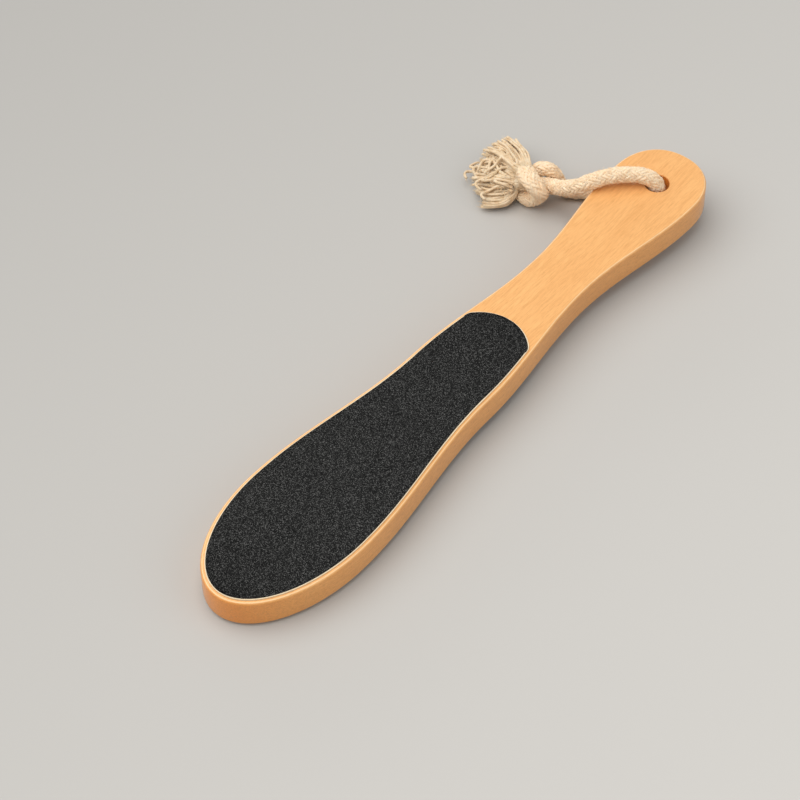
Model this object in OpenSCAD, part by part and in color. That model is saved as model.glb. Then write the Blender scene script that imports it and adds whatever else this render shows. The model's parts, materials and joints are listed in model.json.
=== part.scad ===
// Wooden foot file: a flat paddle with an abrasive sheet on each face of its blade,
// and a short braided cord knotted through the handle. It lies as it rests on a table:
// the tip of the blade on the table, and the handle raised by the cord under it.
// X is across, Y runs from the tip to the handle end, Z is up.

/* [Wooden paddle] */
// Length of the wood
paddle_l = 255; // [204:1:306]
// Thickness of the wood
paddle_t = 11; // [9:0.5:16]
// Widest width of the blade
blade_w = 48.5; // [42:0.5:60]
// Width of the neck behind the blade
neck_w = 33.5; // [28:0.5:38]
// Narrowest width of the waist
waist_w = 23; // [19:0.5:27]
// Widest width of the handle
handle_w = 34.6; // [30:0.2:42]
// Radius of the rounded edges
edge_r = 1; // [0.4:0.1:1.5]

/* [Hanging hole] */
// Diameter of the hole
hole_d = 9; // [8:0.5:12]
// From the axis of the hole to the handle end
hole_inset = 18; // [14:0.5:22]
// Width of the broken edge round the hole
hole_edge = 0.2; // [0.1:0.1:0.8]

/* [Abrasive sheets] */
// From the tip of a sheet to the top of its rear arc
sheet_l = 149.5; // [120:0.5:160]
// Bare wood between a sheet and the outline
sheet_rim = 1.4; // [0.8:0.1:3]
// Radius of the arc at the rear end
sheet_end_r = 17; // [16.5:0.5:22]
// Radius of the corners beside the arc
sheet_corner_r = 4; // [1:0.5:6]
// Thickness of the adhesive film
adhesive_t = 0.15; // [0.1:0.05:0.3]
// Thickness of the backing paper
backing_t = 0.35; // [0.2:0.05:0.6]
// Thickness of the coarse grit coat
coarse_grit_t = 0.3; // [0.2:0.05:0.6]
// Thickness of the fine grit coat
fine_grit_t = 0.2; // [0.1:0.05:0.4]

/* [Cord] */
// Diameter of the cord
cord_d = 6; // [5:0.25:6]
// Share of that diameter left where the knot squeezes the cord
squeeze_share = 0.86; // [0.8:0.01:0.88]

/* [Hidden] */

// Colours
wood_colour = "sandybrown";
film_colour = "ivory";
paper_colour = "tan";
coarse_colour = "darkslategray";
fine_colour = "dimgray";
cord_colour = "antiquewhite";
frayed_colour = "wheat";

// How far a cut runs past the face that it leaves
overrun = 1;

// Where the outline is widest and narrowest, as shares of the length
blade_share = 0.173;
neck_share = 0.465;
waist_share = 0.701;
handle_share = 0.923;
blade_y = paddle_l * blade_share;
neck_y = paddle_l * neck_share;
waist_y = paddle_l * waist_share;
handle_y = paddle_l * handle_share;
hole_y = paddle_l - hole_inset;
// Power of the curve round the handle end: 2 is an ellipse, and more is squarer
end_power = 2.2;

// Facets of the outline and of the edges
cap_steps = 14;
run_steps = 9;
edge_steps = 3;

// Half widths of the outline, from a quarter ellipse, three eased runs and the end curve
function eased(from, to, t) = from + (to - from) * (1 - cos(180 * t)) / 2;
function run(w_from, w_to, y_from, y_to) = [
    for (i = [1 : run_steps])
        let (t = i / run_steps)
        [eased(w_from, w_to, t) / 2, y_from + (y_to - y_from) * t]
];
function tip_cap() = [
    for (i = [0 : cap_steps])
        let (a = 90 * i / cap_steps)
        [blade_w / 2 * sin(a), blade_y * (1 - cos(a))]
];
function end_cap() = [
    for (i = [1 : cap_steps])
        let (a = 90 * i / cap_steps, k = 2 / end_power)
        [
            handle_w / 2 * pow(max(0, cos(a)), k),
            handle_y + (paddle_l - handle_y) * pow(sin(a), k),
        ]
];
right_side = concat(
    tip_cap(),
    run(blade_w, neck_w, blade_y, neck_y),
    run(neck_w, waist_w, neck_y, waist_y),
    run(waist_w, handle_w, waist_y, handle_y),
    end_cap()
);
left_side = [for (i = [len(right_side) - 2 : -1 : 1]) [-right_side[i].x, right_side[i].y]];
outline = concat(right_side, left_side);

function unit(v) = v / norm(v);
// The direction into the wood at point i of the outline
function inward(i) =
    let (n = len(outline), d = unit(outline[(i + 1) % n] - outline[(i + n - 1) % n]))
    [-d.y, d.x];
function outline_ring(inset, z) = [
    for (i = [0 : len(outline) - 1])
        let (p = outline[i] + inward(i) * inset)
        [p.x, p.y, z]
];

// Joins rings of equal counts into one closed skin, with a flat face at both ends
module skin(rings) {
    count = len(rings[0]);
    last = len(rings) - 1;
    sides = [
        for (r = [0 : last - 1], i = [0 : count - 1])
            let (a = r * count + i, b = r * count + (i + 1) % count)
            each [[a, b, b + count], [a, b + count, a + count]]
    ];
    first_face = [for (i = [0 : count - 1]) count - 1 - i];
    last_face = [for (i = [0 : count - 1]) last * count + i];
    // Faces are listed clockwise as seen from outside
    polyhedron(
        points = [for (ring = rings) each ring],
        faces = [for (f = concat(sides, [first_face, last_face])) [for (i = [len(f) - 1 : -1 : 0]) f[i]]],
        convexity = 10
    );
}

// Sizes of the stacks on the two faces
coarse_t = adhesive_t + backing_t + coarse_grit_t;
fine_t = adhesive_t + backing_t + fine_grit_t;

// The cord under the handle lifts it, and the paddle leans by this angle about its tip
cord_gap = 0.3;
lean = asin((cord_d + cord_gap - fine_t) / (hole_y - cord_d - sheet_rim));
// The front edge of the fine sheet touches the table
lift = fine_t * cos(lean) - sheet_rim * sin(lean);
// The box of the leaning paddle is centred on Y
front_y = -(paddle_t - edge_r) * sin(lean);
back_y = paddle_l * cos(lean) - edge_r * sin(lean);
centre_y = (front_y + back_y) / 2;
// Where the middle of the hole stands over the table
hole_foot_y = hole_y * cos(lean) - paddle_t / 2 * sin(lean) - centre_y;

module leaning() {
    translate([0, -centre_y, lift]) rotate([lean, 0, 0]) children();
}

module wooden_paddle() {
    edge = [for (k = [0 : edge_steps]) let (a = 90 * k / edge_steps) [1 - sin(a), 1 - cos(a)]];
    lower = [for (e = edge) outline_ring(e[0] * edge_r, e[1] * edge_r)];
    upper = [
        for (k = [edge_steps : -1 : 0])
            outline_ring(edge[k][0] * edge_r, paddle_t - edge[k][1] * edge_r)
    ];
    color(wood_colour) leaning() difference() {
        skin(concat(lower, upper));
        translate([0, hole_y, -overrun])
            cylinder(h = paddle_t + 2 * overrun, d = hole_d, $fn = 64);
        // The edge of the hole is broken on both faces
        for (side = [0, 1])
            translate([0, hole_y, side * paddle_t]) mirror([0, 0, side])
                translate([0, 0, -overrun])
                    cylinder(
                        h = hole_edge + overrun,
                        r1 = hole_d / 2 + hole_edge + overrun,
                        r2 = hole_d / 2,
                        $fn = 64
                    );
    }
}

// The cut outline of both abrasive sheets: the blade's own outline and an arc at the rear
module sheet_outline() {
    arc_y = sheet_rim + sheet_l - sheet_end_r;
    offset(r = sheet_corner_r, $fn = 48) offset(delta = -sheet_corner_r) intersection() {
        offset(delta = -sheet_rim) polygon(outline);
        union() {
            translate([0, arc_y]) circle(r = sheet_end_r, $fn = 72);
            translate([-blade_w / 2, 0]) square([blade_w, arc_y]);
        }
    }
}

// One layer of a stack on the upper face (side 0) or the lower face (side 1)
module layer(side, below, thickness) {
    leaning() translate([0, 0, side == 0 ? paddle_t : 0]) mirror([0, 0, side])
        translate([0, 0, below]) linear_extrude(thickness) sheet_outline();
}

module coarse_adhesive_film() { color(film_colour) layer(0, 0, adhesive_t); }
module coarse_sheet_backing() { color(paper_colour) layer(0, adhesive_t, backing_t); }
module coarse_grit_coat() {
    color(coarse_colour) layer(0, adhesive_t + backing_t, coarse_grit_t);
}
module fine_adhesive_film() { color(film_colour) layer(1, 0, adhesive_t); }
module fine_sheet_backing() { color(paper_colour) layer(1, adhesive_t, backing_t); }
module fine_grit_coat() {
    color(fine_colour) layer(1, adhesive_t + backing_t, fine_grit_t);
}

// The route of the cord, in millimetres from the foot of the hole on the table: from one
// frayed end through the knot, over the handle, down the hole, under the handle, and
// round the first leg in a half hitch to the other frayed end
route = [
    // first end, which the hitch holds
    [-44.2, -23.8, 8.3], [-40.5, -21.7, 8.4], [-37, -20, 8.7],
    // upper leg, over the side of the handle
    [-33.4, -18.7, 9.2], [-29, -18.8, 11.1], [-24.6, -19.2, 14], [-20.6, -18.8, 17.2],
    [-17.6, -17.1, 19.7], [-14.3, -13.2, 21.1], [-10.3, -8.8, 21.7], [-5.4, -4.8, 21.6],
    [-1.5, -2, 20],
    // through the hole
    [0.3, -0.6, 16.5], [0.7, -0.2, 12], [0.6, 0, 7.8], [-0.9, -0.4, 4.4],
    // lower leg, on the table
    [-4.5, -1.4, 3], [-11.6, -3.5, 3], [-18.9, -5.2, 3], [-25.4, -7.6, 3], [-30.8, -11, 3],
    // the hitch: up behind the upper leg
    [-33.2, -12.4, 4.5], [-34.6, -12.9, 7], [-35.8, -13.3, 9.4], [-37.3, -14.1, 11.3],
    [-39.2, -15.2, 11.8], [-41, -16.1, 10.9], [-42.5, -16.7, 8.7],
    // down and under the upper leg
    [-43.5, -17.9, 5.8], [-44.1, -19.8, 3.8], [-43.6, -22.1, 3], [-41.7, -24, 3],
    [-39.1, -24.6, 3.2], [-36.4, -24.5, 4.5],
    // and back over it
    [-34.3, -24.5, 7], [-33.7, -25.2, 9.9], [-35, -25.9, 12.4], [-37.8, -25.5, 13.9],
    [-41.4, -23.5, 14.2], [-45.4, -20.4, 13.1],
];
// The free stretch starts and ends at these points of the route
leg_first = 3;
leg_last = 20;
cord_sides = 10;
spline_steps = 2;
frayed_sides = 12;

// A smooth curve through the points, with spline_steps pieces between each two
function spline_point(a, b, c, d, t) =
    0.5 * (2 * b + (c - a) * t + (2 * a - 5 * b + 4 * c - d) * t * t
        + (3 * b - a - 3 * c + d) * t * t * t);
function spline(p) =
    let (n = len(p), q = concat([2 * p[0] - p[1]], p, [2 * p[n - 1] - p[n - 2]]))
    concat(
        [
            for (i = [0 : n - 2], k = [0 : spline_steps - 1])
                spline_point(q[i], q[i + 1], q[i + 2], q[i + 3], k / spline_steps)
        ],
        [p[n - 1]]
    );
function tangent(path, i) = unit(path[min(i + 1, len(path) - 1)] - path[max(i - 1, 0)]);
// A side direction for each ring, carried along the curve without twisting
function square_to(v, t) = unit(v - t * (v * t));
function sides_along(path) = [
    for (i = 0, v = square_to([0, 0, 1], tangent(path, 0));
        i < len(path);
        i = i + 1, v = i < len(path) ? square_to(v, tangent(path, i)) : v)
        v
];
function ring(centre, along, side, r) = [
    for (k = [0 : cord_sides - 1])
        let (a = 360 * k / cord_sides)
        centre + r * (cos(a) * side + sin(a) * cross(along, side))
];

// The cord lies on the table where the curve would dip below it
cord_path = [for (p = spline(route)) [p.x, p.y, max(p.z, cord_d / 2)]];
cord_side = sides_along(cord_path);
leg_from = leg_first * spline_steps;
leg_to = leg_last * spline_steps;
function cord_r(i) =
    cord_d / 2 * (i < leg_from || i > leg_to ? squeeze_share : 1);
function cord_rings(from, to) = [
    for (i = [from : to])
        ring(cord_path[i], tangent(cord_path, i), cord_side[i], cord_r(i))
];

module on_cord() {
    translate([0, hole_foot_y, 0]) children();
}

module hanging_cord() {
    color(cord_colour) on_cord() skin(cord_rings(leg_from, leg_to));
}

// Both strands of the hitch, squeezed where they lie on each other
module cord_knot() {
    color(cord_colour) on_cord() {
        skin(cord_rings(0, leg_from));
        skin(cord_rings(leg_to, len(cord_path) - 1));
    }
}

// A frayed end opens into a flat fan. Each row of shares, of the cord's diameter, holds
// the middle of a section, from the end of the cord, and its half width and half height
module frayed_end(start, along, section_shares) {
    sections = concat(
        [[0, 0, 0, squeeze_share / 2, squeeze_share / 2]],
        section_shares
    ) * cord_d;
    middles = [for (s = sections) [s[0], s[1], s[2]]];
    last = len(sections) - 1;
    rings = [
        for (i = [0 : last])
            let (
                t = i == 0 ? along : unit(middles[min(i + 1, last)] - middles[i - 1]),
                across = unit(cross(t, [0, 0, 1])),
                up = cross(across, t)
            )
            [
                for (k = [0 : frayed_sides - 1])
                    let (a = 360 * k / frayed_sides)
                    start + middles[i]
                        + sections[i][3] * cos(a) * across + sections[i][4] * sin(a) * up
            ]
    ];
    color(frayed_colour) on_cord() skin(rings);
}

upper_end_shares = [
    [-0.55, 0.25, -0.1, 0.65, 0.4],
    [-1.3, 0.65, -0.3, 0.95, 0.45],
    [-2.1, 1, -0.6, 1.05, 0.5],
    [-2.85, 1.35, -0.95, 1, 0.45],
    [-3.4, 1.6, -1.2, 0.7, 0.3],
];
lower_end_shares = [
    [-0.35, -0.25, -0.1, 0.65, 0.5],
    [-0.75, -0.5, -0.35, 1.05, 0.65],
    [-1.15, -0.9, -0.55, 1.3, 0.65],
    [-1.6, -1.25, -0.7, 1.3, 0.5],
    [-2, -1.45, -0.85, 0.95, 0.3],
];

module frayed_end_upper() {
    last = len(cord_path) - 1;
    frayed_end(cord_path[last], tangent(cord_path, last), upper_end_shares);
}
module frayed_end_lower() {
    frayed_end(cord_path[0], -tangent(cord_path, 0), lower_end_shares);
}

wooden_paddle();
coarse_adhesive_film();
coarse_sheet_backing();
coarse_grit_coat();
fine_adhesive_film();
fine_sheet_backing();
fine_grit_coat();
hanging_cord();
cord_knot();
frayed_end_upper();
frayed_end_lower();
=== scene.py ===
import json
import math
import random

import bmesh
import bpy
from mathutils import Matrix, Quaternion, Vector


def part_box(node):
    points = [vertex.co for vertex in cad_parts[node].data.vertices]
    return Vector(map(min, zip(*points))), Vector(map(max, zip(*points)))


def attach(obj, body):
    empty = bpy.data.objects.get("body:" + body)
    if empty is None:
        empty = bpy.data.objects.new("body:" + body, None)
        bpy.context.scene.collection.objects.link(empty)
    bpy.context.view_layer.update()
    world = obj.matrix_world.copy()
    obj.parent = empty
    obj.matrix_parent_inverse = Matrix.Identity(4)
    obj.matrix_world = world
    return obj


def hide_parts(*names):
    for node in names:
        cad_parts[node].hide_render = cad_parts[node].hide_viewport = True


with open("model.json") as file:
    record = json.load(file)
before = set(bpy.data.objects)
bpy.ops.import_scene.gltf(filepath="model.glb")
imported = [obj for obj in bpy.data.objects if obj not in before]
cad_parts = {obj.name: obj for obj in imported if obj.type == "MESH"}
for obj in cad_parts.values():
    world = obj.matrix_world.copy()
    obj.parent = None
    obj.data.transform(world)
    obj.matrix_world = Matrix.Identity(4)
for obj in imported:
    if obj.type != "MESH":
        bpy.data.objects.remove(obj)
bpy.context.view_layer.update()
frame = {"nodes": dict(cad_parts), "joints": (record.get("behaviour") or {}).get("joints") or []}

mm = 0.001
scene = bpy.context.scene
swing = next(j for j in frame["joints"] if j["name"] == "cord_swing")
print("frame loaded")


# The camera that the photograph was taken with, for a paddle 255 mm long
camera = {
    "place": (0.36159, -0.47917, 0.66932),
    "aim": (-0.0145, -0.01857, 0),
    "roll": 0.38,       # degrees
    "lens": 117.6,
    "sensor": 36,
}


def makeCamera():
    data = bpy.data.cameras.new("camera")
    data.lens = camera["lens"]
    data.sensor_width = camera["sensor"]
    obj = bpy.data.objects.new("camera", data)
    scene.collection.objects.link(obj)
    place, aim = Vector(camera["place"]), Vector(camera["aim"])
    obj.rotation_mode = "QUATERNION"
    obj.location = place
    roll = Quaternion((0, 0, 1), math.radians(camera["roll"]))
    obj.rotation_quaternion = (aim - place).to_track_quat("-Z", "Y") @ roll
    data.clip_start, data.clip_end = 0.01, 20
    scene.camera = obj


makeCamera()
print("camera made")


# Shared helpers
def newObject(name, mesh):
    obj = bpy.data.objects.new(name, mesh)
    scene.collection.objects.link(obj)
    return obj


def meshObject(name, bm, smooth=True):
    mesh = bpy.data.meshes.new(name)
    bm.to_mesh(mesh)
    bm.free()
    mesh.polygons.foreach_set("use_smooth", [smooth] * len(mesh.polygons))
    return newObject(name, mesh)


def tubeObject(name, lines):        # a line is a list of (point, radius)
    data = bpy.data.curves.new(name, "CURVE")
    data.dimensions = "3D"
    data.bevel_depth = 1
    data.bevel_resolution = 1           # six sides
    data.use_fill_caps = True
    for line in lines:
        spline = data.splines.new("POLY")
        spline.points.add(len(line) - 1)
        for knot, (point, radius) in zip(spline.points, line):
            knot.co = (*point, 1)
            knot.radius = radius
    curve = newObject(name + "Curve", data)
    graph = bpy.context.evaluated_depsgraph_get()
    mesh = bpy.data.meshes.new_from_object(curve.evaluated_get(graph))
    bpy.data.objects.remove(curve)
    mesh.name = name
    bm = bmesh.new()
    bm.from_mesh(mesh)
    bmesh.ops.remove_doubles(bm, verts=bm.verts, dist=1e-6)
    bmesh.ops.recalc_face_normals(bm, faces=bm.faces)
    bm.to_mesh(mesh)
    bm.free()
    mesh.polygons.foreach_set("use_smooth", [True] * len(mesh.polygons))
    return newObject(name, mesh)


def finishPiece(obj, body, slotName, material, *nodes):
    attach(obj, body)
    obj.data.materials.clear()
    obj.data.materials.append(material)
    if nodes:
        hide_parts(*nodes)
    return obj


# The cord's route, in millimetres from the foot of the hole
cord = {
    "diameter": 6 * mm,
    "length": 0.0914,           # of the free loop, from the knot through the hole and back
    "squeeze": 0.95,            # share of the diameter left in the knot
    "route": [
        (-44.2, -23.8, 8.3), (-40.5, -21.7, 8.4), (-37, -20, 8.7),
        (-33.4, -18.7, 9.2), (-29, -18.8, 11.1), (-24.6, -19.2, 14), (-20.6, -18.8, 17.2),
        (-17.6, -17.1, 19.7), (-14.3, -13.2, 21.1), (-10.3, -8.8, 21.7), (-5.4, -4.8, 21.6),
        (-1.5, -2, 20),
        (0.3, -0.6, 16.5), (0.7, -0.2, 12), (0.6, 0, 7.8), (-0.9, -0.4, 4.4),
        (-4.5, -1.4, 3), (-11.6, -3.5, 3), (-18.9, -5.2, 3), (-25.4, -7.6, 3), (-30.8, -11, 3),
        (-33.2, -12.4, 4.5), (-34.6, -12.9, 7), (-35.8, -13.3, 9.4), (-37.3, -14.1, 11.3),
        (-39.2, -15.2, 11.8), (-41, -16.1, 10.9), (-42.5, -16.7, 8.7),
        (-43.5, -17.9, 5.8), (-44.1, -19.8, 3.8), (-43.6, -22.1, 3), (-41.7, -24, 3),
        (-39.3, -24.2, 3.2), (-36.9, -23.8, 4.5),
        (-34.9, -23.7, 7), (-34.2, -24.3, 9.8), (-35.4, -25, 12.1), (-38, -24.9, 13.5),
        (-41.4, -23.1, 13.8), (-45.4, -20.4, 12.7),
    ],
    "legFirst": 3,              # the free loop runs between these points of the route
    "legLast": 20,
    "stepsPerPoint": 16,
    "overFloor": 0.12 * mm,     # kept under the cord for its loose fibres
    "opened": 2.6 * mm,         # of the upper end, whose yarns have come apart
    "exit": (-0.016, 0.094, 0.0205),
}
up = Vector((0, 0, 1))
fullTurn = 2 * math.pi
holeFoot = Vector((0, swing["pos_m"][1], 0))


def splinePoint(a, b, c, d, t):
    square = 2 * a - 5 * b + 4 * c - d
    cube = 3 * b - a - 3 * c + d
    return 0.5 * (2 * b + (c - a) * t + square * t ** 2 + cube * t ** 3)


def splineThrough(points, steps):
    padded = [2 * points[0] - points[1]] + points + [2 * points[-1] - points[-2]]
    line = []
    for i in range(len(points) - 1):
        for k in range(steps):
            line.append(splinePoint(*padded[i:i + 4], k / steps))
    return line + [points[-1]]


class Path:
    def __init__(self, points):
        self.points = points
        before, after = [points[0]] + points[:-1], points[1:] + [points[-1]]
        self.along = [(b - a).normalized() for a, b in zip(before, after)]
        self.length = [0.0]
        for a, b in zip(points, points[1:]):
            self.length.append(self.length[-1] + (b - a).length)
        side = up
        self.side, self.other = [], []
        for t in self.along:
            side = (side - t * side.dot(t)).normalized()
            self.side.append(side)
            self.other.append(t.cross(side))

    def at(self, s):        # the point and both side directions at length s
        s = min(max(s, 0), self.length[-1])
        lo, hi = 0, len(self.length) - 1
        while hi - lo > 1:
            mid = (lo + hi) // 2
            if self.length[mid] <= s:
                lo = mid
            else:
                hi = mid
        f = (s - self.length[lo]) / (self.length[hi] - self.length[lo])
        return (
            self.points[lo].lerp(self.points[hi], f),
            self.side[lo].lerp(self.side[hi], f).normalized(),
            self.other[lo].lerp(self.other[hi], f).normalized(),
        )


routePoints = [holeFoot + Vector(p) * mm for p in cord["route"]]
cordPoints = splineThrough(routePoints, cord["stepsPerPoint"])
for p in cordPoints:
    p.z = max(p.z, cord["diameter"] / 2 + cord["overFloor"])
cordPath = Path(cordPoints)
legFrom = cordPath.length[cord["legFirst"] * cord["stepsPerPoint"]]
legTo = cordPath.length[cord["legLast"] * cord["stepsPerPoint"]]
print("cord route %.1f mm, free loop %.1f mm" % (cordPath.length[-1] / mm, (legTo - legFrom) / mm))


def randomVector(rng, flat=1):      # each part from -1 to 1, and the third less where flat is
    return Vector((rng.uniform(-1, 1), rng.uniform(-1, 1), rng.uniform(-flat, flat)))


braid = {
    "yarns": 24,                # half wind each way, over two and under two
    "turn": 22 * mm,            # length of one turn of a yarn
    "ringRadius": 2.26 * mm,    # from the cord's middle to a yarn's middle
    "weave": 0.14 * mm,         # how far a yarn rises and dips
    "yarnRadius": 0.63 * mm,
    "unevenness": 0.1,          # how much a yarn swells and thins along its way
    "swellPaces": (900, 370),   # in radians per metre
    "swellShift": 7.3,          # from one yarn to the next, in radians
    "coreRadius": 2.36 * mm,
    "step": 0.36 * mm,          # between the points of a yarn
    "coreStep": 1 * mm,
    "squeezeRun": 5 * mm,       # over which the cord narrows into the knot
    "flat": 0.34,               # how much the strand over the knot's top spreads sideways
    "flatPoints": (33.6, 35.5, 37.8, 39),   # of the route: where it starts, is full and ends
}


def squeezeAt(s):           # the share of its diameter that the cord keeps at length s
    outside = max(legFrom - s, s - legTo, 0)
    t = min(outside / braid["squeezeRun"], 1)
    return 1 - (1 - cord["squeeze"]) * (3 * t * t - 2 * t ** 3)


def routeLength(point):     # the length at which the route reaches a point of its list
    return cordPath.length[round(point * cord["stepsPerPoint"])]


def spreadAt(s):
    start, full, fade, end = (routeLength(p) for p in braid["flatPoints"])
    t = min((s - start) / (full - start), (end - s) / (end - fade), 1)
    t = max(t, 0)
    return braid["flat"] * (3 * t * t - 2 * t ** 3)


def spread(offset, along, share):
    wide = along.cross(up).normalized()
    return offset + wide * offset.dot(wide) * share


def braidLines(sFrom, sTo):
    half = braid["yarns"] // 2
    spacing = fullTurn / half
    wind = fullTurn / braid["turn"]
    fast, slow = braid["swellPaces"]
    count = max(2, round((sTo - sFrom) / braid["step"]))
    stations = [sFrom + (sTo - sFrom) * i / count for i in range(count + 1)]
    places = [cordPath.at(s) for s in stations]
    lines = []
    for k in range(braid["yarns"]):
        index, way = k // 2, 1 if k % 2 == 0 else -1
        line = []
        shift = braid["swellShift"] * k
        for s, (point, side, other) in zip(stations, places):
            crossing = 2 * wind * s / spacing
            phase = crossing + 2 * index if way > 0 else 2 * index - crossing
            rise = way * math.cos(math.pi / 2 * (phase - 0.5))
            keep = squeezeAt(s)
            r = (braid["ringRadius"] + braid["weave"] * rise) * keep
            a = index * spacing + way * wind * s
            waves = math.sin(shift + fast * s) * math.sin(shift * 2 + slow * s)
            swell = 1 + braid["unevenness"] * waves
            out = side * math.cos(a) + other * math.sin(a)
            share = spreadAt(s)
            offset = spread(out * r * (0.5 + 0.5 * swell), side.cross(other), share)
            line.append((point + offset, braid["yarnRadius"] * keep * swell * (1 + share / 2)))
        lines.append(line)
    return lines


def coreLines(sFrom, sTo):      # three, side by side where the cord spreads
    count = max(2, round((sTo - sFrom) / braid["coreStep"]))
    lines = []
    for beside in (-1, 0, 1):
        line = []
        for i in range(count + 1):
            s = sFrom + (sTo - sFrom) * i / count
            point, side, other = cordPath.at(s)
            wide = side.cross(other).cross(up)
            radius = braid["coreRadius"] * squeezeAt(s)
            line.append((point + wide * beside * radius * spreadAt(s), radius))
        lines.append(line)
    return lines


fuzz = {
    "perLength": 17,            # loose fibres to a millimetre of cord
    "reach": (0.7, 1.9),        # their lengths, in millimetres
    "start": 2.75 * mm,         # from the cord's middle
    "lift": 0.4,                # how steeply they leave the cord
    "bend": 0.22,               # how much they turn from point to point
    "points": 4,
    "radius": 0.026 * mm,
    "overFloor": 0.1 * mm,
}


def fuzzLines(sFrom, sTo, rng):
    lines = []
    for i in range(round((sTo - sFrom) / mm * fuzz["perLength"])):
        s = rng.uniform(sFrom, sTo)
        point, side, other = cordPath.at(s)
        along = side.cross(other)
        a = rng.uniform(0, fullTurn)
        out = side * math.cos(a) + other * math.sin(a)
        around = out.cross(along)
        keep = squeezeAt(s)
        p = point + spread(out * fuzz["start"] * keep, along, spreadAt(s))
        turn = rng.uniform(0, fullTurn)
        lift = rng.uniform(0.1, fuzz["lift"])
        heading = along * math.cos(turn) + around * math.sin(turn) + out * lift
        bend = randomVector(rng) * fuzz["bend"]
        reach = rng.uniform(*fuzz["reach"]) * mm
        line = []
        for j in range(fuzz["points"]):
            p.z = max(p.z, fuzz["overFloor"])
            line.append((p.copy(), fuzz["radius"]))
            heading = (heading + bend).normalized()
            p = p + heading * reach / (fuzz["points"] - 1)
        lines.append(line)
    return lines


# Materials
def newMaterial(name):
    mat = bpy.data.materials.new(name)
    mat.use_nodes = True
    return mat, mat.node_tree.nodes, mat.node_tree.links, mat.node_tree.nodes["Principled BSDF"]


def ramp(nodes, stops):
    node = nodes.new("ShaderNodeValToRGB")
    for i, (place, colour) in enumerate(stops):
        stop = node.color_ramp.elements[i] if i < 2 else node.color_ramp.elements.new(place)
        stop.position = place
        stop.color = (*colour, 1)
    return node


def objectCoords(nodes, links, scale=(1, 1, 1), place=(0, 0, 0)):
    coords = nodes.new("ShaderNodeTexCoord")
    mapping = nodes.new("ShaderNodeMapping")
    mapping.inputs["Scale"].default_value = scale
    mapping.inputs["Location"].default_value = place
    links.new(coords.outputs["Object"], mapping.inputs["Vector"])
    return mapping


def noiseNode(nodes, links, vector, scale, detail, rough, distortion=0):
    node = nodes.new("ShaderNodeTexNoise")
    node.inputs["Scale"].default_value = scale
    node.inputs["Detail"].default_value = detail
    node.inputs["Roughness"].default_value = rough
    node.inputs["Distortion"].default_value = distortion
    links.new(vector.outputs[0], node.inputs["Vector"])
    return node


def mixColours(nodes, links, factor, a, b, blend="MIX"):
    node = nodes.new("ShaderNodeMix")
    node.data_type = "RGBA"
    node.blend_type = blend
    if isinstance(factor, (int, float)):
        node.inputs["Factor"].default_value = factor
    else:
        links.new(factor, node.inputs["Factor"])
    for socket, value in ((node.inputs["A"], a), (node.inputs["B"], b)):
        if isinstance(value, tuple):
            socket.default_value = (*value, 1)
        else:
            links.new(value, socket)
    return node.outputs["Result"]


def multiplied(nodes, links, a, b):
    return mixColours(nodes, links, 1, a, b, "MULTIPLY")


def mathNode(nodes, links, operation, a, b):
    node = nodes.new("ShaderNodeMath")
    node.operation = operation
    for socket, value in zip(node.inputs, (a, b)):
        if isinstance(value, (int, float)):
            socket.default_value = value
        else:
            links.new(value, socket)
    return node.outputs[0]


def bumpNode(nodes, links, height, shader, strength, distance):
    bump = nodes.new("ShaderNodeBump")
    bump.inputs["Strength"].default_value = strength
    bump.inputs["Distance"].default_value = distance
    links.new(height, bump.inputs["Height"])
    links.new(bump.outputs["Normal"], shader.inputs["Normal"])


def mask(nodes, links, value, low, high, strength):
    step = ramp(nodes, [(low, (0, 0, 0)), (high, (1, 1, 1))])
    links.new(value, step.inputs["Fac"])
    return mathNode(nodes, links, "MULTIPLY", step.outputs["Color"], strength)


woodLook = {
    "light": (0.885, 0.468, 0.172),
    "dark": (0.73, 0.36, 0.117),
    "band": (0.7, 0.317, 0.09),
    "fleck": (0.5, 0.225, 0.065),
    "sideTint": (0.99, 0.88, 0.7),      # edge grain and end grain take up more lacquer
    "endTint": (1, 0.75, 0.41),
    "edge": (1, 0.76, 0.45),            # painted highlight: the lacquer's glint along the rounded edges, painted into the colour
    # each kind of mark: its noise scale, its scale along the wood and how much it shows
    "grainScale": 2200, "grainAlong": 0.06,
    "bandScale": 190, "bandAlong": 0.06, "bandShare": 0.2,          # broad year rings
    "fleckScale": 2900, "fleckAlong": 0.16, "fleckShare": 0.2,      # short dark pores
    "cloudScale": 38, "cloudAlong": 0.4, "cloudShare": 0.16,
    "pitScale": 1500, "pitDepth": 0.5, "pitShare": 0.8,             # open grain on the sides
    # glint: how strongly the painted highlight shows on the rounded edges
    "glint": 0.45, "endShare": 0.75,
    "roughness": (0.42, 0.55), "coat": 0.55, "coatRoughness": 0.13, "specular": 0.3,
    "bump": 0.14, "bumpHeight": 0.1 * mm,
}


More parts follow.
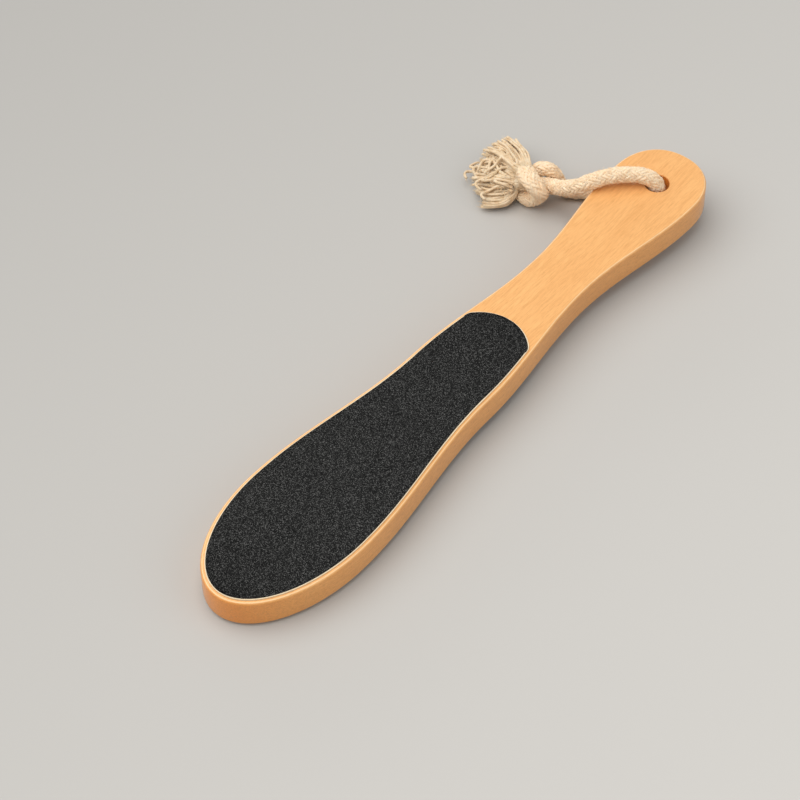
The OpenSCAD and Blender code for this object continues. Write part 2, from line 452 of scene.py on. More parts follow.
def woodMaterial():
    mat, nodes, links, shader = newMaterial("lacqueredWood")
    look = woodLook
    grain = objectCoords(nodes, links, (1, look["grainAlong"], 1))
    fine = noiseNode(nodes, links, grain, look["grainScale"], 5, 0.8)
    fineRamp = ramp(nodes, [(0.38, look["dark"]), (0.56, look["light"])])
    links.new(fine.outputs["Fac"], fineRamp.inputs["Fac"])
    rings = objectCoords(nodes, links, (1, look["bandAlong"], 1), (0.013, 0, 0.004))
    broad = noiseNode(nodes, links, rings, look["bandScale"], 2, 0.45, 0.6)
    broadMask = mask(nodes, links, broad.outputs["Fac"], 0.44, 0.62, look["bandShare"])
    colour = mixColours(nodes, links, broadMask, fineRamp.outputs["Color"], look["band"])
    flecks = objectCoords(nodes, links, (1, look["fleckAlong"], 1), (0.07, 0.02, 0.01))
    fleck = noiseNode(nodes, links, flecks, look["fleckScale"], 3, 0.65)
    fleckMask = mask(nodes, links, fleck.outputs["Fac"], 0.54, 0.7, look["fleckShare"])
    colour = mixColours(nodes, links, fleckMask, colour, look["fleck"])
    clouds = objectCoords(nodes, links, (1, look["cloudAlong"], 1))
    cloud = noiseNode(nodes, links, clouds, look["cloudScale"], 2, 0.5)
    cloudMask = mask(nodes, links, cloud.outputs["Fac"], 0.35, 0.7, look["cloudShare"])
    colour = mixColours(nodes, links, cloudMask, colour, look["band"])
    # the sides and ends are told by which way the wood faces
    facing = nodes.new("ShaderNodeTexCoord")
    split = nodes.new("ShaderNodeSeparateXYZ")
    links.new(facing.outputs["Normal"], split.inputs[0])
    level = mathNode(nodes, links, "ABSOLUTE", split.outputs["Z"], 0)
    sideways = mathNode(nodes, links, "SUBTRACT", 1, level)
    sideMask = mask(nodes, links, sideways, 0.3, 0.75, 1)
    endways = mathNode(nodes, links, "ABSOLUTE", split.outputs["Y"], 0)
    endMask = mask(nodes, links, endways, 0.3, 0.9, look["endShare"])
    side = multiplied(nodes, links, colour, look["sideTint"])
    colour = mixColours(nodes, links, sideMask, colour, side)
    end = multiplied(nodes, links, colour, look["endTint"])
    colour = mixColours(nodes, links, endMask, colour, end)
    pits = noiseNode(nodes, links, objectCoords(nodes, links), look["pitScale"], 4, 0.7)
    pitMask = mask(nodes, links, pits.outputs["Fac"], 0.5, 0.68, look["pitDepth"])
    pitted = mixColours(nodes, links, pitMask, colour, look["fleck"])
    pitShare = mathNode(nodes, links, "MULTIPLY", sideMask, look["pitShare"])
    colour = mixColours(nodes, links, pitShare, colour, pitted)
    # painted highlight: where the wood faces a little off level, along the rounded edges, its
    # colour is painted lighter as a lacquer glint
    none, full = (0, 0, 0), (look["glint"],) * 3
    glint = ramp(nodes, [(0.75, none), (0.86, full), (0.95, full), (0.985, none)])
    links.new(level, glint.inputs["Fac"])
    colour = mixColours(nodes, links, glint.outputs["Color"], colour, look["edge"])
    links.new(colour, shader.inputs["Base Color"])
    smoothest, roughest = look["roughness"]
    rough = ramp(nodes, [(0.3, (smoothest,) * 3), (0.7, (roughest,) * 3)])
    links.new(fine.outputs["Fac"], rough.inputs["Fac"])
    links.new(rough.outputs["Color"], shader.inputs["Roughness"])
    shader.inputs["Coat Weight"].default_value = look["coat"]
    shader.inputs["Coat Roughness"].default_value = look["coatRoughness"]
    shader.inputs["Specular IOR Level"].default_value = look["specular"]
    bumpNode(nodes, links, fine.outputs["Fac"], shader, look["bump"], look["bumpHeight"])
    return mat


gritLook = {
    "darkest": 0.3,             # share of the grains that is darkest
    "dark": 0.78,               # share that is still dark, before the rest get lighter, partly as painted glints
    "between": 0.1,             # how light that last dark grain is, from dark (0) to light (1)
    "specular": 0.12,
    "bump": 0.8, "bumpHeight": 0.15 * mm,
}


def gritMaterial(name, scale, dark, light, roughness):
    mat, nodes, links, shader = newMaterial(name)
    coords = objectCoords(nodes, links)
    grains = nodes.new("ShaderNodeTexVoronoi")
    grains.inputs["Scale"].default_value = scale
    links.new(coords.outputs[0], grains.inputs["Vector"])
    pick = nodes.new("ShaderNodeSeparateColor")
    links.new(grains.outputs["Color"], pick.inputs["Color"])
    # most grains are dark, and a few are painted lighter: partly grains of a lighter tone, partly
    # painted glints where they catch the light
    between = tuple(d + (g - d) * gritLook["between"] for d, g in zip(dark, light))
    tone = ramp(nodes, [(gritLook["darkest"], dark), (gritLook["dark"], between), (1, light)])
    links.new(pick.outputs["Red"], tone.inputs["Fac"])
    links.new(tone.outputs["Color"], shader.inputs["Base Color"])
    shader.inputs["Roughness"].default_value = roughness
    shader.inputs["Specular IOR Level"].default_value = gritLook["specular"]
    bumpNode(
        nodes, links, grains.outputs["Distance"], shader, gritLook["bump"], gritLook["bumpHeight"])
    return mat


paperLook = {"fibreScale": 2500, "shade": 0.82, "roughness": 0.85}


def paperMaterial(name, colour):
    mat, nodes, links, shader = newMaterial(name)
    coords = objectCoords(nodes, links)
    pulp = noiseNode(nodes, links, coords, paperLook["fibreScale"], 3, 0.6)
    tone = ramp(nodes, [(0.3, tuple(paperLook["shade"] * c for c in colour)), (0.7, colour)])
    links.new(pulp.outputs["Fac"], tone.inputs["Fac"])
    links.new(tone.outputs["Color"], shader.inputs["Base Color"])
    shader.inputs["Roughness"].default_value = paperLook["roughness"]
    return mat


cottonLook = {
    "roughness": 0.95,
    "subsurface": 0.2, "subsurfaceDepth": 0.4 * mm, "subsurfaceRadius": (1, 0.85, 0.65),
    "sheen": 0.15, "sheenTint": (1, 0.86, 0.68, 1),
    "plyAngle": 35,             # in degrees
    # plyShade: painted shade in the grooves between the plies
    "plyShade": (0.9, 0.88, 0.85), "plyWander": 1.5,
    "patchScale": 420,
    "bump": 0.3, "bumpHeight": 0.1 * mm,
}


def cottonMaterial(name, light, dark, twists):
    mat, nodes, links, shader = newMaterial(name)
    look = cottonLook
    # the plies of a yarn show as stripes that wind round it, with painted shade darkening the
    # grooves between them
    coords = nodes.new("ShaderNodeTexCoord")
    mapping = nodes.new("ShaderNodeMapping")
    mapping.inputs["Rotation"].default_value = (0, 0, math.radians(look["plyAngle"]))
    mapping.inputs["Scale"].default_value = (twists, 3, 1)
    links.new(coords.outputs["UV"], mapping.inputs["Vector"])
    plies = nodes.new("ShaderNodeTexWave")
    plies.inputs["Scale"].default_value = 1
    plies.inputs["Distortion"].default_value = look["plyWander"]
    plies.inputs["Detail"].default_value = 2
    links.new(mapping.outputs[0], plies.inputs["Vector"])
    patches = noiseNode(nodes, links, objectCoords(nodes, links), look["patchScale"], 4, 0.6)
    tone = ramp(nodes, [(0.35, dark), (0.6, light)])
    links.new(patches.outputs["Fac"], tone.inputs["Fac"])
    shade = ramp(nodes, [(0, look["plyShade"]), (0.5, (1, 1, 1))])
    links.new(plies.outputs["Fac"], shade.inputs["Fac"])
    colour = multiplied(nodes, links, tone.outputs["Color"], shade.outputs["Color"])
    links.new(colour, shader.inputs["Base Color"])
    shader.inputs["Roughness"].default_value = look["roughness"]
    shader.inputs["Subsurface Weight"].default_value = look["subsurface"]
    shader.inputs["Subsurface Radius"].default_value = look["subsurfaceRadius"]
    shader.inputs["Subsurface Scale"].default_value = look["subsurfaceDepth"]
    shader.inputs["Sheen Weight"].default_value = look["sheen"]
    shader.inputs["Sheen Tint"].default_value = look["sheenTint"]
    bumpNode(nodes, links, plies.outputs["Fac"], shader, look["bump"], look["bumpHeight"])
    return mat


lacqueredWood = woodMaterial()
# the lighter grain colours are partly painted glints
coarseBlack = gritMaterial("coarseBlack", 5600, (0.002, 0.002, 0.002), (0.17, 0.17, 0.165), 0.75)
fineBlack = gritMaterial("fineBlack", 4200, (0.01, 0.01, 0.01), (0.09, 0.09, 0.09), 0.65)
backingPaper = paperMaterial("backingPaper", (0.95, 0.78, 0.54))
adhesiveFilm = paperMaterial("adhesiveFilm", (0.7, 0.6, 0.42))
braidCotton = cottonMaterial("braidCotton", (0.97, 0.765, 0.54), (0.89, 0.645, 0.415), 60)
yarnCotton = cottonMaterial("yarnCotton", (0.84, 0.68, 0.48), (0.7, 0.505, 0.3), 14)
print("materials made")


# Braided cord and knot
rng = random.Random(11)
loopLines = braidLines(legFrom, legTo) + coreLines(legFrom, legTo) + fuzzLines(legFrom, legTo, rng)
cordBraid = tubeObject("cordBraid", loopLines)
finishPiece(cordBraid, "cord", "cotton_cord", braidCotton, "hanging_cord")

knotLines = []
upperEnd = cordPath.length[-1] - cord["opened"]
for sFrom, sTo in ((0, legFrom), (legTo, upperEnd)):
    knotLines += braidLines(sFrom, sTo) + coreLines(sFrom, sTo) + fuzzLines(sFrom, sTo, rng)
knotBraid = tubeObject("knotBraid", knotLines)
finishPiece(knotBraid, "cord", "cotton_cord", braidCotton, "cord_knot")
print("cord and knot braided")


# Frayed ends
tufts = {
    "yarnRadius": 0.46 * mm,
    "tipRadius": 0.52 * mm,
    "unevenness": 0.15,         # of the yarns' radius
    "bunched": 0.45,            # share of its radius that a yarn starts with, in the braid
    "ring": 2.7 * mm,           # the yarns leave the cord's end on this radius
    "overlap": 4.5 * mm,        # they start this far back in the braid, on the radius inside
    "inside": 1.7 * mm,
    "shortest": 0.84,           # share of its guide that the shortest yarn follows
    "shuffle": 0.1,             # of the yarns, across the bundle
    "underneath": -0.3,         # yarns below this height in the bundle leave the braid below
    "wobblePaces": (9, 7, 8),   # in radians over a yarn's length
    "overFloor": 0.1 * mm,
    "stepsPerPoint": 8,
}
# Each bundle's guide is in millimetres: the points that its middle follows, from the foot of
# the hole, each with its half width and half height. Its wave is in millimetres too
upperBundles = [
    {"yarns": 32, "wave": 0.4, "guide": [
        ((-46.5, -18.5, 12.5), 2.2, 1.4), ((-50.5, -15.5, 11.5), 2.7, 2),
        ((-55, -12.5, 9.5), 2.9, 2.2), ((-59, -10.5, 8), 2.9, 2.2), ((-63.5, -8.5, 6.5), 2.9, 2)]},
    {"yarns": 30, "wave": 0.5, "guide": [
        ((-48.5, -20.5, 11.5), 1.9, 1.6), ((-53, -18.5, 10), 2.4, 2.2),
        ((-57.5, -16.5, 8.5), 2.8, 2.4), ((-62, -15, 6.5), 3.1, 2.4), ((-66, -14.5, 5), 3.1, 2)]},
]
lowerBundles = [
    {"yarns": 23, "wave": 1.2, "guide": [
        ((-46, -24, 8.5), 1.8, 1.6), ((-49.5, -23.5, 8.5), 2.4, 2), ((-54, -22.5, 7.5), 2.9, 2.4),
        ((-58.5, -22, 5.5), 3.2, 2.4), ((-62, -23.5, 4), 2.8, 1.8)]},
    {"yarns": 19, "wave": 1, "guide": [
        ((-46, -25, 7.5), 1.6, 1.6), ((-49, -26.5, 7.5), 2.2, 2), ((-53, -27, 6.5), 2.6, 2.2),
        ((-57, -27.5, 5), 2.8, 2.2), ((-61, -29, 3.8), 2.6, 1.6)]},
    {"yarns": 19, "wave": 0.6, "guide": [
        ((-45.5, -26, 6), 1.6, 1.5), ((-47.5, -28.5, 5.5), 2, 1.8), ((-50.5, -30, 4.6), 2.4, 2),
        ((-54, -31, 3.6), 2.6, 1.8), ((-57.5, -31.5, 2.8), 2.6, 1.4)]},
    {"yarns": 19, "wave": 0.4, "guide": [
        ((-44, -27, 5.2), 1.3, 1.3), ((-44.5, -29.5, 4), 1.6, 1.3), ((-46, -32, 3.3), 2, 1.3),
        ((-48.5, -34, 2.8), 2.4, 1.2), ((-52, -35.5, 2.3), 2.7, 1.2)]},
    {"yarns": 22, "wave": 1.1, "guide": [
        ((-46.5, -22.5, 9), 1.6, 1.6), ((-50.5, -21.2, 8.6), 2.2, 2), ((-55.5, -20, 7.2), 2.8, 2.2),
        ((-60, -19.4, 5.4), 3, 2), ((-63.5, -19.4, 3.8), 2.8, 1.4)]},
]
# Loose yarns that lie curled over the others: where they start, their first heading in degrees,
# how fast they turn, and their length and how much they sink, in millimetres
curls = [
    ((-43.6, -28.4, 7.6), 200, -26, 17, 1.5), ((-44.2, -27.4, 8.2), 230, -22, 15, 1.2),
    ((-47, -28.6, 7.4), 170, 24, 13, 1), ((-46, -24.2, 10.3), 150, 14, 15, 2.4),
    ((-47.5, -22.6, 10.6), 190, -17, 15, 2.6), ((-50, -21.4, 10.8), 140, 20, 14, 2.4),
    ((-49, -24.8, 9.8), 215, -19, 16, 2.6), ((-52, -22.8, 10), 165, -24, 13, 2),
    ((-53, -25.6, 9), 190, 22, 13, 2.4), ((-55, -20.8, 9.4), 205, -20, 13, 2.6),
    ((-56.5, -24, 8), 160, 26, 12, 2), ((-51, -28, 7.8), 205, -14, 12, 2.6),
    ((-58.5, -21.5, 7.4), 170, 27, 11, 2.2), ((-59, -26, 6), 150, 30, 10, 2),
    ((-61, -24.8, 5.4), 215, -30, 9, 1.6), ((-48, -20.6, 11.6), 175, -12, 14, 2.6),
    ((-52.5, -17.6, 11.6), 205, 13, 13, 3), ((-56.5, -16.8, 10), 150, -15, 11, 2.2),
]
curlShape = {
    "turnPerStep": 0.3,         # share of its turn, which is in degrees
    "sway": 25,                 # degrees either way
    "lift": 0.35,               # rise and fall, in millimetres per millimetre
    "thicker": 1.3, "thinner": 0.2,     # share of the yarns' radius, and what it loses to the tip
    "stepsPerMm": 2,
}
fibres = {
    "perTip": 7, "perYarn": 5, "points": 5,
    "radius": 0.05 * mm, "tipRadius": 0.025 * mm,
    "tipReach": (0.9, 2), "yarnReach": (1, 2.8),    # in millimetres
    "tipAside": 0.4, "yarnAside": 0.5,              # how much they lean away from the yarn
    "tipCurl": 0.12, "yarnCurl": 0.18,
    "tipStart": 1.2, "tipSpread": 0.25 * mm,        # the start in millimetres back from the tip
    "overFloor": 0.15 * mm,
}
frizz = {                       # curly fibres that mat the middle of the tuft
    "count": 360, "points": 8, "step": 0.5 * mm,
    "from": (-45, -27, 8.5), "to": (-63, -20.5, 5), "spread": (2.2, 4.6, 1.5),
    "radius": 0.12, "taper": 0.01,      # in millimetres, and less at each step
    "climb": 0.3, "turns": (0.2, 0.75),
}


def bundleLines(s, way, bundle, rng):
    start, side, other = cordPath.at(s)
    along = side.cross(other) * way
    back = cordPath.at(s - tufts["overlap"] * way)[0]
    guide = [(holeFoot + Vector(p) * mm, w * mm, h * mm) for p, w, h in bundle["guide"]]
    across = up.cross(along).normalized()
    shuffle = tufts["shuffle"]
    paceX, paceY, paceZ = tufts["wobblePaces"]
    lines = []
    for i in range(bundle["yarns"]):
        # the yarn's place in the bundle, across (a) and up (b), each from -1 to 1
        a = -1 + 2 * (i + 0.5) / bundle["yarns"] + rng.uniform(-shuffle, shuffle)
        b = rng.uniform(-1, 1)
        turn = math.pi * (0.5 - 0.5 * a)
        above = 1 if b > tufts["underneath"] else -1
        ring = across * math.cos(turn) + up * math.sin(turn) * above
        first = start + ring * tufts["ring"]
        points = [back + ring * tufts["inside"], first]
        last = start
        for middle, width, height in guide:
            forward = (middle - last).normalized()
            sideways = up.cross(forward).normalized()
            points.append(middle + sideways * a * width + up * b * height)
            last = middle
        reach = rng.uniform(tufts["shortest"], 1)
        line = splineThrough(points, tufts["stepsPerPoint"])
        line = line[:round(len(line) * reach)]
        phase, pace = rng.uniform(0, 6.28), rng.uniform(0.7, 1.3)
        thick = rng.uniform(1 - tufts["unevenness"], 1 + tufts["unevenness"])
        yarn = []
        for k, p in enumerate(line):
            t = k / (len(line) - 1)
            wobble = Vector((
                math.sin(phase + paceX * pace * t),
                math.cos(phase * 2 + paceY * pace * t),
                0.5 * math.sin(phase * 3 + paceZ * t),
            ))
            q = p + wobble * bundle["wave"] * mm * t        # more of it towards the tip
            radius = (tufts["yarnRadius"] * (1 - t) + tufts["tipRadius"] * t) * thick
            radius *= min(1, tufts["bunched"] + 2.2 * t)
            q.z = max(q.z, radius + tufts["overFloor"])
            yarn.append((q, radius))
        lines.append(yarn)
    return lines


def curlLines(rng):
    shape, lines = curlShape, []
    for start, degrees, turn, reach, sink in curls:
        p = holeFoot + Vector(start) * mm
        count = reach * shape["stepsPerMm"]
        phase = rng.uniform(0, 6.28)
        line = []
        for k in range(count + 1):
            t = k / count
            sway = shape["sway"] * math.sin(phase + 7 * t)
            a = math.radians(degrees + shape["turnPerStep"] * turn * k + sway)
            radius = tufts["yarnRadius"] * (shape["thicker"] - shape["thinner"] * t)
            line.append((p.copy(), radius))
            lift = shape["lift"] * math.cos(phase + 8 * t) - sink / reach
            p = p + Vector((math.cos(a), math.sin(a), lift)) * mm / shape["stepsPerMm"]
        lines.append(line)
    return lines


def fibre(p, heading, reach, curlSize, rng):
    curl = randomVector(rng) * curlSize
    last = fibres["points"] - 1
    line = []
    for j in range(fibres["points"]):
        p.z = max(p.z, fibres["overFloor"])
        radius = fibres["radius"] + (fibres["tipRadius"] - fibres["radius"]) * j / last
        line.append((p.copy(), radius))
        heading = (heading + curl).normalized()
        p = p + heading * reach / last
    return line


def fibreLines(yarns, rng):     # fine fibres that come loose at the tips and along the yarns
    lines = []
    for yarn in yarns:
        tip = yarn[-1][0]
        heading = (tip - yarn[-4][0]).normalized()
        for k in range(fibres["perTip"]):
            aside = randomVector(rng, 0.6)
            p = tip - heading * rng.uniform(0, fibres["tipStart"]) * mm
            p = p + aside * fibres["tipSpread"]
            way = (heading + aside * fibres["tipAside"]).normalized()
            reach = rng.uniform(*fibres["tipReach"]) * mm
            lines.append(fibre(p, way, reach, fibres["tipCurl"], rng))
        for k in range(fibres["perYarn"]):
            j = rng.randrange(2, len(yarn) - 1)
            point, radius = yarn[j]
            heading = (yarn[j + 1][0] - point).normalized()
            aside = randomVector(rng)
            out = (aside - heading * aside.dot(heading)).normalized()
            way = (heading + out * fibres["yarnAside"]).normalized()
            reach = rng.uniform(*fibres["yarnReach"]) * mm
            lines.append(fibre(point + out * radius, way, reach, fibres["yarnCurl"], rng))
    return lines


def frizzLines(rng):
    lines = []
    start, end = (holeFoot + Vector(frizz[key]) * mm for key in ("from", "to"))
    for i in range(frizz["count"]):
        p = start.lerp(end, rng.random())
        p = p + Vector([rng.uniform(-1, 1) * reach * mm for reach in frizz["spread"]])
        turn = rng.uniform(0, fullTurn)
        climb = rng.uniform(-frizz["climb"], frizz["climb"])
        bend = rng.choice((-1, 1))
        line = []
        for j in range(frizz["points"]):
            p.z = max(p.z, fibres["overFloor"])
            line.append((p.copy(), (frizz["radius"] - frizz["taper"] * j) * mm))
            turn += bend * rng.uniform(*frizz["turns"])
            p = p + Vector((math.cos(turn), math.sin(turn), climb)) * frizz["step"]
        lines.append(line)
    return lines


def makeFrayedEnd(name, node, s, way, bundles, seed, curled=(), matted=()):
    rng = random.Random(seed)
    yarns = [line for bundle in bundles for line in bundleLines(s, way, bundle, rng)]
    yarns += curled
    obj = tubeObject(name, yarns + fibreLines(yarns, rng) + list(matted))
    return finishPiece(obj, "cord", "cotton_yarn", yarnCotton, node)


frayedUpper = makeFrayedEnd("frayedUpper", "frayed_end_upper", upperEnd, 1, upperBundles, 3)
frayedLower = makeFrayedEnd(
    "frayedLower", "frayed_end_lower", 0, -1, lowerBundles, 8, curlLines(rng), frizzLines(rng))
print("frayed ends made")


# Wooden paddle
paddle = {
    "length": 255 * mm, "thickness": 11 * mm,
    # widths, and how far from the tip they lie as shares of the length
    "bladeWidth": 48.5 * mm, "bladeShare": 0.173,
    "neckWidth": 33.5 * mm, "neckShare": 0.465,
    "waistWidth": 23 * mm, "waistShare": 0.701,
    "handleWidth": 34.6 * mm, "handleShare": 0.923, "endPower": 2.2,
    "edgeRadius": 1 * mm, "edgeSteps": 5,
    "flatInset": 0.25 * mm,     # a narrow ring round both flats, which keeps their shading flat
    "sharpAngle": 32,           # degrees
    "holeDiameter": 9 * mm, "holeInset": 18 * mm, "holeEdge": 0.25 * mm, "holeSides": 96,
}
sheet = {
    "length": 149.5 * mm, "rim": 1.4 * mm,      # of bare wood round the sheet
    "endRadius": 17 * mm, "cornerRadius": 4 * mm,
    "cornerShare": 0.45,        # of endRadius, where the side's width is taken for the corner
    "adhesive": 0.15 * mm, "backing": 0.35 * mm, "coarseGrit": 0.3 * mm, "fineGrit": 0.2 * mm,
    "border": 0.3 * mm,         # of bare paper round the grit
}
fineStack = sheet["adhesive"] + sheet["backing"] + sheet["fineGrit"]
leanAngle = math.atan2(swing["axis"][1], -swing["axis"][2])
liftHeight = fineStack * math.cos(leanAngle) - sheet["rim"] * math.sin(leanAngle)
backEdge = paddle["length"] * math.cos(leanAngle) - paddle["edgeRadius"] * math.sin(leanAngle)
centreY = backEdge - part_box("wooden_paddle")[1][1]
leaning = Matrix.Translation((0, -centreY, liftHeight)) @ Matrix.Rotation(leanAngle, 4, "X")


def eased(a, b, t):
    return a + (b - a) * (1 - math.cos(math.pi * t)) / 2


def halfWidth(y):           # half the paddle's width at y from its tip
    p = paddle
    shares = ("bladeShare", "neckShare", "waistShare", "handleShare")
    bladeY, neckY, waistY, handleY = (p["length"] * p[k] for k in shares)
    if y <= bladeY:
        return p["bladeWidth"] / 2 * math.sqrt(max(0, 1 - ((bladeY - y) / bladeY) ** 2))
    if y <= neckY:
        return eased(p["bladeWidth"], p["neckWidth"], (y - bladeY) / (neckY - bladeY)) / 2
    if y <= waistY:
        return eased(p["neckWidth"], p["waistWidth"], (y - neckY) / (waistY - neckY)) / 2
    if y <= handleY:
        return eased(p["waistWidth"], p["handleWidth"], (y - waistY) / (handleY - waistY)) / 2
    t = min((y - handleY) / (p["length"] - handleY), 1)
    return p["handleWidth"] / 2 * (1 - t ** p["endPower"]) ** (1 / p["endPower"])


def outlinePoints(count=150):
    points = []             # the right side from the tip to the handle end, closer at both ends
    for i in range(count + 1):
        y = paddle["length"] * (1 - math.cos(math.pi * i / count)) / 2
        points.append((halfWidth(y), y))
    return points


def makePaddle():
    right = outlinePoints()
    loop = right + [(-x, y) for x, y in reversed(right[1:-1])]
    bm = bmesh.new()
    face = bm.faces.new([bm.verts.new((x, y, 0)) for x, y in loop])
    top = bmesh.ops.extrude_face_region(bm, geom=[face])["geom"]
    lift = [v for v in top if isinstance(v, bmesh.types.BMVert)]
    bmesh.ops.translate(bm, verts=lift, vec=(0, 0, paddle["thickness"]))
    bmesh.ops.recalc_face_normals(bm, faces=bm.faces)
    edges = [e for e in bm.edges if abs(e.verts[0].co.z - e.verts[1].co.z) < 1e-7]
    bmesh.ops.bevel(
        bm, geom=edges, offset=paddle["edgeRadius"], offset_type="OFFSET",
        segments=paddle["edgeSteps"], affect="EDGES", profile=0.5, material=-1, clamp_overlap=True)
    flats = [f for f in bm.faces if abs(f.normal.z) > 0.999 and f.calc_area() > 1e-3]
    bmesh.ops.inset_individual(bm, faces=flats, thickness=paddle["flatInset"])
    blank = meshObject("paddleWood", bm)

    # the hole and its broken edges, cut with one turned tool
    r, over = paddle["holeDiameter"] / 2, 2 * mm
    edge, t = paddle["holeEdge"], paddle["thickness"]
    profile = [
        (0, -over), (r + edge + over, -over), (r, edge),
        (r, t - edge), (r + edge + over, t + over), (0, t + over)]
    bm = bmesh.new()
    line = [bm.verts.new((x, 0, z)) for x, z in profile]
    wire = [bm.edges.new(pair) for pair in zip(line, line[1:])]
    bmesh.ops.spin(
        bm, geom=line + wire, cent=(0, 0, 0), axis=(0, 0, 1), angle=fullTurn,
        steps=paddle["holeSides"], use_merge=True)
    bmesh.ops.remove_doubles(bm, verts=bm.verts, dist=1e-6)
    bmesh.ops.recalc_face_normals(bm, faces=bm.faces)
    bmesh.ops.translate(bm, verts=bm.verts, vec=(0, paddle["length"] - paddle["holeInset"], 0))
    tool = meshObject("holeTool", bm)
    cut = blank.modifiers.new("hole", "BOOLEAN")
    cut.operation, cut.solver, cut.object = "DIFFERENCE", "EXACT", tool
    graph = bpy.context.evaluated_depsgraph_get()
    mesh = bpy.data.meshes.new_from_object(blank.evaluated_get(graph))
    blank.modifiers.clear()
    blank.data = mesh
    bpy.data.objects.remove(tool)
    mesh.transform(leaning)
    mesh.polygons.foreach_set("use_smooth", [True] * len(mesh.polygons))
    mesh.set_sharp_from_angle(angle=math.radians(paddle["sharpAngle"]))
    return blank


paddleWood = makePaddle()
finishPiece(paddleWood, "paddle", "lacquered_wood", lacqueredWood, "wooden_paddle")
print("paddle made")


# Grit coats, on the upper face (1) and the lower face (-1), with their grains raised
def sheetHalfWidth(y):
    rim, r, corner = sheet["rim"], sheet["endRadius"], sheet["cornerRadius"]
    arcY = rim + sheet["length"] - r
    side = insetWidth(y)
    if y <= arcY:
        return side
    cornerX = insetWidth(arcY + sheet["cornerShare"] * r) - corner
    cornerY = arcY + math.sqrt((r - corner) ** 2 - cornerX ** 2)
    if y <= cornerY:
        return side
    arcFrom = arcY + (cornerY - arcY) * r / (r - corner)
    if y <= arcFrom:
        return cornerX + math.sqrt(max(0, corner ** 2 - (y - cornerY) ** 2))
    return math.sqrt(max(0, r ** 2 - (y - arcY) ** 2))


def insetWidth(y):
    rim, bladeY = sheet["rim"], paddle["length"] * paddle["bladeShare"]
    if y < bladeY:
        t = max(0, (bladeY - y) / (bladeY - rim))
        return (paddle["bladeWidth"] / 2 - rim) * math.sqrt(max(0, 1 - t * t))
    return halfWidth(y) - rim


grit = {        # rows and columns of points, the height of the grains and a seed for them
    "coarseGrit": (540, 156, 0.14 * mm, 5),
    "fineGrit": (300, 84, 0.06 * mm, 6),
    "rimDrop": 0.7,         # share of the coat's thickness that its rim lies lower
    "endCloser": 0.6,       # how much closer the rows lie at both ends
    "shuffle": 0.6,         # share of a column that a point moves sideways
}


def makeGrit(name, face, below):
    thickness = sheet[name]
    rows, columns, grain, seed = grit[name]
    rng = random.Random(seed)
    bm = bmesh.new()
    bmesh.ops.create_grid(bm, x_segments=columns, y_segments=rows, size=1)
    border = sheet["border"]
    rimY, length = sheet["rim"], sheet["length"]
    for v in bm.verts:
        u = (v.co.y + 1) / 2
        share = u - grit["endCloser"] * math.sin(fullTurn * u) / fullTurn
        half = sheetHalfWidth(rimY + length * share)
        half = max(0, half - border * min(1, half / border / 4))
        edge = abs(v.co.x) > 0.999 or abs(v.co.y) > 0.999
        x = v.co.x * half
        height = -grit["rimDrop"] * thickness if edge else rng.uniform(-0.5, 0.5) * grain
        if not edge:
            x += rng.uniform(-0.5, 0.5) * grit["shuffle"] * half * 2 / columns
        v.co = (x, rimY + border + (length - 2 * border) * share, height)
    bmesh.ops.remove_doubles(bm, verts=bm.verts, dist=1e-5)
    rim = [e for e in bm.edges if e.is_boundary]
    wall = bmesh.ops.extrude_edge_only(bm, edges=rim)["geom"]
    lower = [g for g in wall if isinstance(g, bmesh.types.BMVert)]
    bmesh.ops.translate(bm, verts=lower, vec=(0, 0, (grit["rimDrop"] - 1) * thickness))
    bmesh.ops.contextual_create(bm, geom=[e for e in bm.edges if e.is_boundary])
    bmesh.ops.recalc_face_normals(bm, faces=bm.faces)
    obj = meshObject(name, bm, smooth=False)
    surface = below + thickness
    place = Matrix.Translation((0, 0, paddle["thickness"] + surface))
    if face < 0:
        place = Matrix.Translation((0, 0, -surface)) @ Matrix.Rotation(math.pi, 4, "Y")
    obj.data.transform(leaning @ place)
    return obj


gritBelow = sheet["adhesive"] + sheet["backing"]
coarseGrit = makeGrit("coarseGrit", 1, gritBelow)
finishPiece(coarseGrit, "paddle", "coarse_grit", coarseBlack, "coarse_grit_coat")
fineGrit = makeGrit("fineGrit", -1, gritBelow)
finishPiece(fineGrit, "paddle", "fine_grit", fineBlack, "fine_grit_coat")

for nodeName, material in (
    ("coarse_adhesive_film", adhesiveFilm), ("fine_adhesive_film", adhesiveFilm),
    ("coarse_sheet_backing", backingPaper), ("fine_sheet_backing", backingPaper),
):
    data = frame["nodes"][nodeName].data
    data.materials.clear()
    data.materials.append(material)
print("sheets made")


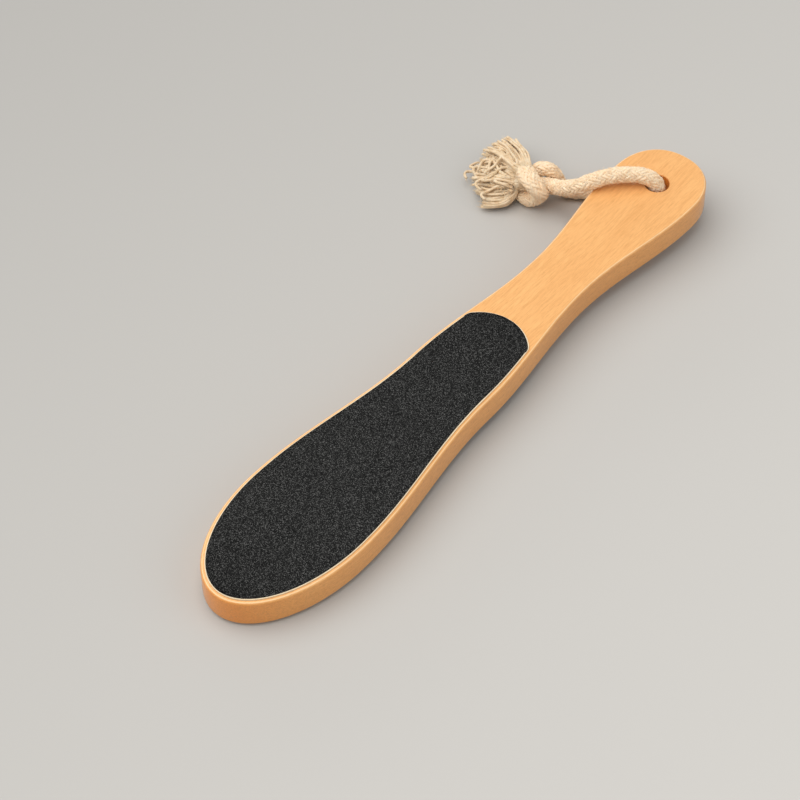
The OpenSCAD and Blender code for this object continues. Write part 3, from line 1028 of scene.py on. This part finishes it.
# Floor and light
studio = {
    "floor": (0.5, 0.486, 0.462),
    "floorReach": 6,            # in metres, from its middle to its edges
    "fade": 0.7,                # painted light: the share that the floor's colour gets lighter by, per metre to the right
    "world": 0.435, "worldColour": (0.97, 0.985, 1, 1),
    "lampColour": (1, 0.985, 0.96),
    "lamps": [                  # name, place, width, height and power
        ("softbox", (-0.5, -0.4, 1.45), 2.5, 2.5, 31.3),
        ("fill", (0.9, 0.3, 0.6), 1, 1, 2.3),
        ("strip", (-0.76, 0.5, 0.24), 0.9, 0.12, 0.8),      # glints on the far edge
    ],
}


def makeFloor():
    bm = bmesh.new()
    bmesh.ops.create_grid(bm, x_segments=1, y_segments=1, size=studio["floorReach"])
    floor = meshObject("floor", bm, smooth=False)
    mat, nodes, links, shader = newMaterial("paleFloor")
    # painted light: the floor's colour runs from darker on the left to lighter on the right
    coords = nodes.new("ShaderNodeTexCoord")
    split = nodes.new("ShaderNodeSeparateXYZ")
    links.new(coords.outputs["Object"], split.inputs[0])
    level = mathNode(nodes, links, "MULTIPLY_ADD", split.outputs["X"], studio["fade"])
    level.node.inputs[2].default_value = 0.5
    darker, lighter = (tuple(share * c for c in studio["floor"]) for share in (0.5, 1.5))
    tone = ramp(nodes, [(0, darker), (1, lighter)])
    links.new(level, tone.inputs["Fac"])
    links.new(tone.outputs["Color"], shader.inputs["Base Color"])
    shader.inputs["Roughness"].default_value = 0.9
    shader.inputs["Specular IOR Level"].default_value = 0.2
    floor.data.materials.append(mat)


def makeLight():
    world = bpy.data.worlds.new("studio")
    scene.world = world
    world.use_nodes = True
    back = world.node_tree.nodes["Background"]
    back.inputs["Color"].default_value = studio["worldColour"]
    back.inputs["Strength"].default_value = studio["world"]
    for name, place, width, height, power in studio["lamps"]:
        data = bpy.data.lights.new(name, "AREA")
        data.shape = "ELLIPSE"
        data.size, data.size_y = width, height
        data.energy = power
        data.color = studio["lampColour"]
        lamp = bpy.data.objects.new(name, data)
        scene.collection.objects.link(lamp)
        lamp.location = place
        lamp.visible_camera = False
        lamp.rotation_mode = "QUATERNION"
        lamp.rotation_quaternion = (-Vector(place)).to_track_quat("-Z", "Y")


makeFloor()
makeLight()
scene.view_settings.view_transform = "Standard"
print("studio made")
